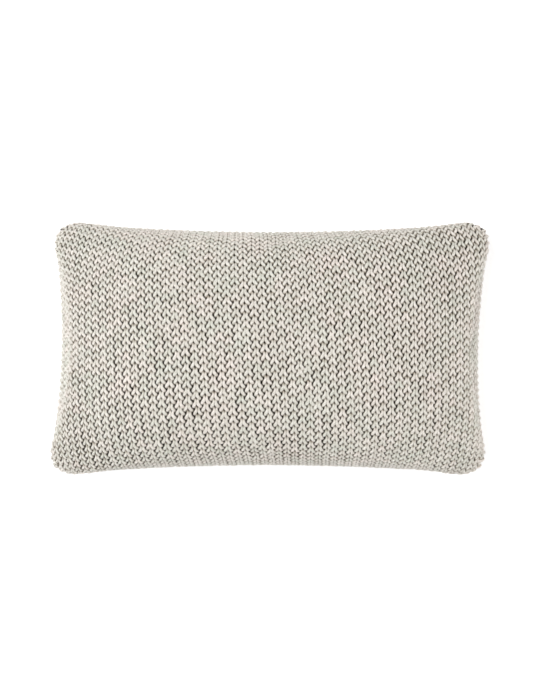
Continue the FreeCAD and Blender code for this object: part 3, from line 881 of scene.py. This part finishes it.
def dashes(name, replaced, material, path, outward, length, gap, radius):
    """Sewing stitches in place of a CAD node: short threads that dip into the cloth at both ends."""
    run = run_along(path)
    starts = np.arange(gap, run[-1] - length, length + gap)
    part = np.linspace(0, 1, 7)
    where = starts[:, None] + part * length
    paths = pick(where, run, path)
    facing = pick(where, run, outward)
    paths += facing * (np.sin(part * math.pi) ** 0.5 - 0.6)[None, :, None] * radius
    mesh = tubes(name, paths, facing, radius, sides=6)
    piece = new_object(name, mesh, "cover", material)
    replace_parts(piece, replaced)


# ---------------------------------------------------------------- the insert

INSERT_X = 0.925              # plan of the insert over the plan of the cover
INSERT_Y = 0.872
TICKING_TOP = 0.895           # and its heights above and below the seam
TICKING_FLOOR = 0.865
FILLING = 0.972               # the filling over the insert
FLUFF = 0.35 * MM             # unevenness of the filling's surface
LADDER_HALF = 70 * MM         # half the length of the hand-sewn opening
PUCKER_X = 0.28               # how far in from the ends the folds run, in half lengths,
PUCKER_Y = 0.38               # and from the long sides, in half widths


def inside(grid, height_scale, shrink=1.0):
    """A grid inside the cover's, drawn in towards the middle of the seam plane."""
    scale = (INSERT_X * shrink, INSERT_Y * shrink, height_scale * shrink)
    return (grid - (0, 0, SEAM_Z)) * scale + (0, 0, SEAM_Z)


def puckers(grid, depth):
    """Small folds that run in from a sewn edge and fade out."""
    rows, columns = grid.shape[:2]
    u, v = np.meshgrid(np.linspace(-1, 1, columns), np.linspace(-1, 1, rows))
    near_x = np.clip((abs(u) - 1 + PUCKER_X) / PUCKER_X, 0, 1) * (1 - v ** 8)
    near_y = np.clip((abs(v) - 1 + PUCKER_Y) / PUCKER_Y, 0, 1) * (1 - u ** 8)
    shut = np.clip((1 - np.maximum(abs(u), abs(v))) / 0.08, 0, 1)
    folds = near_x * np.sin(v * 31 + 2 * np.sin(v * 5)) + near_y * np.sin(u * 47 + 3 * np.sin(u * 4))
    return grid - np.stack([np.zeros_like(u), np.zeros_like(u), folds * shut * depth], -1)


def refine(grid, rows, columns):
    """The same surface on a grid of another size."""
    panel = Panel(grid, 1)
    u, v = np.meshgrid(np.linspace(-1, 1, columns), np.linspace(-1, 1, rows))
    return panel.place(u, v)[0]


def make_insert(front_grid, back_grid, ticking, fibre, thread):
    front = refine(inside(front_grid, TICKING_TOP), 90, 150)
    back = refine(inside(back_grid, TICKING_FLOOR), 90, 150)
    for side, grid, fold in (("front", front, 0.9 * MM), ("back", back, -0.7 * MM)):
        name = "insert_cloth_" + side
        mesh = grid_mesh(name, puckers(grid, fold))
        sheet = new_object(name, mesh, "cover", ticking)
        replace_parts(sheet, "insert_ticking_" + side)
    upper = refine(front_grid, 60, 100)
    lower = refine(back_grid, 60, 100)
    fluff = random.normal(0, FLUFF, upper.shape[:2])
    fluff[[0, -1]] = 0
    fluff[:, [0, -1]] = 0
    upper = inside(upper, TICKING_TOP, FILLING)
    lower = inside(lower, TICKING_FLOOR, FILLING)
    upper[..., 2] -= abs(fluff)
    lower[..., 2] += abs(fluff)
    mesh = grid_mesh("insert_filling", upper, lower)
    filling = new_object("insert_filling", mesh, "cover", fibre)
    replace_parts(filling, "insert_fibre_fill")

    edge = Panel(inside(front_grid, TICKING_TOP), 1)
    u, v = square_edge(800)
    seam, _ = edge.place(u, v)
    at = np.concatenate([seam, seam[:1]])
    out = unit(at * (1, 1, 0) / (SQUARE_X, SQUARE_Y, 1)) + (0, 0, 0.01)
    dashes("insert_seam_stitches", "insert_seam_thread", thread, at + out * 0.2 * MM, out,
           length=2.6 * MM, gap=0.9 * MM, radius=0.35 * MM)
    at = seam[(v > 0.999) & (abs(seam[:, 0]) < LADDER_HALF)]
    zigzag = np.where(np.arange(len(at)) % 4 < 2, 1, -1) * 0.9 * MM
    out = np.tile((0.0, 1.0, 0.01), (len(at), 1))
    at = at + out * 0.8 * MM + zigzag[:, None] * (0, 0, 1)
    dashes("insert_ladder_stitches", "insert_closing_stitch", thread, at, out,
           length=4.2 * MM, gap=0.5 * MM, radius=0.35 * MM)


# ---------------------------------------------------------------- the zipper

def ribbon(name, node, material, waves=0.0, along="x", longer=0.0):
    """A thin woven strip in the space of a CAD node, with soft edges and a little waviness."""
    low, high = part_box(node)
    long_axis = "xyz".index(along)
    low[long_axis] -= longer
    high[long_axis] += longer
    size = high - low
    thin_axis = min(range(3), key=lambda axis: size[axis])
    wide_axis = 3 - long_axis - thin_axis
    columns = max(24, int(size[long_axis] / (2 * MM)))
    run, cross = np.meshgrid(np.linspace(0, 1, columns), np.linspace(0, 1, 9))
    middle = (low[thin_axis] + high[thin_axis]) / 2
    bend = waves * np.sin(run * size[long_axis] / (23 * MM)) * np.sin(run * 9 + cross)
    layers = []
    for side in (1, -1):
        thick = size[thin_axis] / 2 * (1 - (2 * cross - 1) ** 8 * 0.7)
        points = np.zeros(run.shape + (3,))
        points[..., long_axis] = low[long_axis] + run * size[long_axis]
        points[..., wide_axis] = low[wide_axis] + cross * size[wide_axis]
        points[..., thin_axis] = middle + bend + side * thick
        layers.append(points)
    piece = new_object(name, grid_mesh(name, *layers), "cover", material)
    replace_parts(piece, node)
    return piece


def coil(name, node, reach, material):
    """A nylon monofilament wound into flat turns that reach in between the other side's."""
    low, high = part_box(node)
    turns = int((high.x - low.x) / COIL_PITCH)
    angle = np.linspace(0, turns * 2 * math.pi, turns * 14)
    x = low.x + angle / (2 * math.pi) * COIL_PITCH
    reach = reach * np.clip((COIL_PARTING + COIL_PARTING_RUN - abs(x)) / COIL_PARTING_RUN, 0, 1)
    height = (high.z - low.z) / 2
    middle = (high.z + low.z) / 2 + reach / 2
    half_z = height + abs(reach) / 2 - COIL_WIRE
    half_y = (high.y - low.y) / 2 - COIL_WIRE
    path = np.stack([
        x,
        (low.y + high.y) / 2 + half_y * np.sin(angle),
        middle + half_z * np.cos(angle)], -1)
    outward = np.stack([np.full_like(angle, 0.01), np.sin(angle), np.cos(angle)], -1)
    mesh = tubes(name, path[None], outward[None], COIL_WIRE, sides=6)
    piece = new_object(name, mesh, "cover", material)
    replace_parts(piece, node)


def bar_tacks(thread):
    """Close zigzags of thread across both tapes at each end of the zipper."""
    low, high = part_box("zipper_bar_tacks")
    lines = []
    for end in (low.x + 1.25 * MM, high.x - 1.25 * MM):
        turn = np.arange(60)
        line = np.stack([
            end + np.where(turn % 2 == 0, 1.2, -1.2) * MM,
            np.full(60, low.y - 0.8 * MM),
            np.linspace(low.z, high.z, 60)], -1)
        lines.append(spline(line, 420))
    paths = np.stack(lines)
    outward = np.tile((0.0, -1.0, 0.02), paths.shape[:2] + (1,))
    mesh = tubes("bar_tacks", paths, outward, 0.22 * MM, sides=6)
    piece = new_object("zip_bar_tacks", mesh, "cover", thread)
    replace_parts(piece, "zipper_bar_tacks")


def make_zipper(tape, nylon, thread, enamel):
    for side, reach in (("front", -COIL_REACH), ("back", COIL_REACH)):
        ribbon("zip_tape_" + side, "zipper_tape_" + side, tape, longer=TAPE_TAIL)
        coil("zip_coil_" + side, "zipper_coil_" + side, reach, nylon)
        low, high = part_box("zipper_stitching_" + side)
        path = np.linspace(
            (low.x, ZIP_Y - 0.35 * MM, (low.z + high.z) / 2),
            (high.x, ZIP_Y - 0.35 * MM, (low.z + high.z) / 2), 400)
        outward = np.tile((0.0, -1.0, 0.02), (400, 1))
        dashes("zip_sewing_" + side, "zipper_stitching_" + side, thread, path, outward,
               length=2.4 * MM, gap=0.7 * MM, radius=0.28 * MM)
    bar_tacks(thread)
    for node in ("zipper_top_stops", "zipper_bottom_stop", "zipper_slider_body", "zipper_pull_tab"):
        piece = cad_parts[node]
        piece.data.materials.clear()
        piece.data.materials.append(enamel)


def make_labels(satin):
    care = ribbon("cover_label_ribbon", "cover_care_label", satin, 0.05 * MM, along="y")
    insert = ribbon("insert_label_ribbon", "insert_label", satin, 0.05 * MM)


# ---------------------------------------------------------------- stage, light and camera

def make_floor():
    bpy.ops.mesh.primitive_plane_add(size=12, location=(0, 0, FLOOR_Z))
    floor = bpy.context.object
    floor.name = "floor"
    floor.data.materials.append(floor_material())


def area_light(name, place, size, power, colour):
    data = bpy.data.lights.new(name, "AREA")
    data.shape = "SQUARE"
    data.size = size
    data.energy = power
    data.color = colour
    lamp = bpy.data.objects.new(name, data)
    lamp.location = place
    direction = -lamp.location
    lamp.rotation_euler = direction.to_track_quat("-Z", "Y").to_euler()
    bpy.context.scene.collection.objects.link(lamp)


def make_light():
    """Even light from all round, one lamp above, a little to the left, and a broad one on each side."""
    world = bpy.data.worlds.new("studio")
    world.use_nodes = True
    background = world.node_tree.nodes["Background"]
    background.inputs[0].default_value = (1, 1, 1, 1)
    background.inputs[1].default_value = WORLD_LIGHT
    bpy.context.scene.world = world
    for lamp in LAMPS:
        area_light(*lamp)


def make_camera():
    """Straight above the pillow, with the frame as wide as the picture shows."""
    data = bpy.data.cameras.new("camera")
    data.sensor_width = SENSOR
    data.lens = SENSOR * CAMERA_HEIGHT / PICTURE_HEIGHT
    camera = bpy.data.objects.new("camera", data)
    camera.location = (CAMERA_X, CAMERA_Y, SEAM_Z + CAMERA_HEIGHT)
    bpy.context.scene.collection.objects.link(camera)
    bpy.context.scene.camera = camera
    bpy.context.scene.view_settings.view_transform = "Standard"


make_camera()
make_light()
make_floor()
front_grid, back_grid = pillow_form()
front_panel = Panel(with_lip(front_grid, LIP_OPENING), 1)
back_panel = Panel(with_lip(back_grid, -LIP_OPENING), -1)
yarn = yarn_material()
ground_painted_shade = ground_material()
ticking = weave_material("cotton_ticking", srgb(238, 236, 230), 0.55 * MM)
thread = thread_material()
make_insert(front_grid, back_grid, ticking, fibre_material(), thread)
front_knit = knit(front_panel, "front", yarn) + [bind_off(front_panel, "front", yarn)]
back_knit = knit(back_panel, "back", yarn) + [bind_off(back_panel, "back", yarn)]
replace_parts(ground(front_panel, "front", ground_painted_shade), "cover_front_panel")
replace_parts(ground(back_panel, "back", ground_painted_shade), "cover_back_panel")
whip_stitches(front_panel, back_panel, yarn)
twill = weave_material("zip_tape_twill", srgb(208, 200, 182), 0.4 * MM)
make_zipper(twill, nylon_material(), thread, enamel_material())
make_labels(weave_material("satin_ribbon", srgb(244, 243, 240), 0.2 * MM, roughness=0.45))
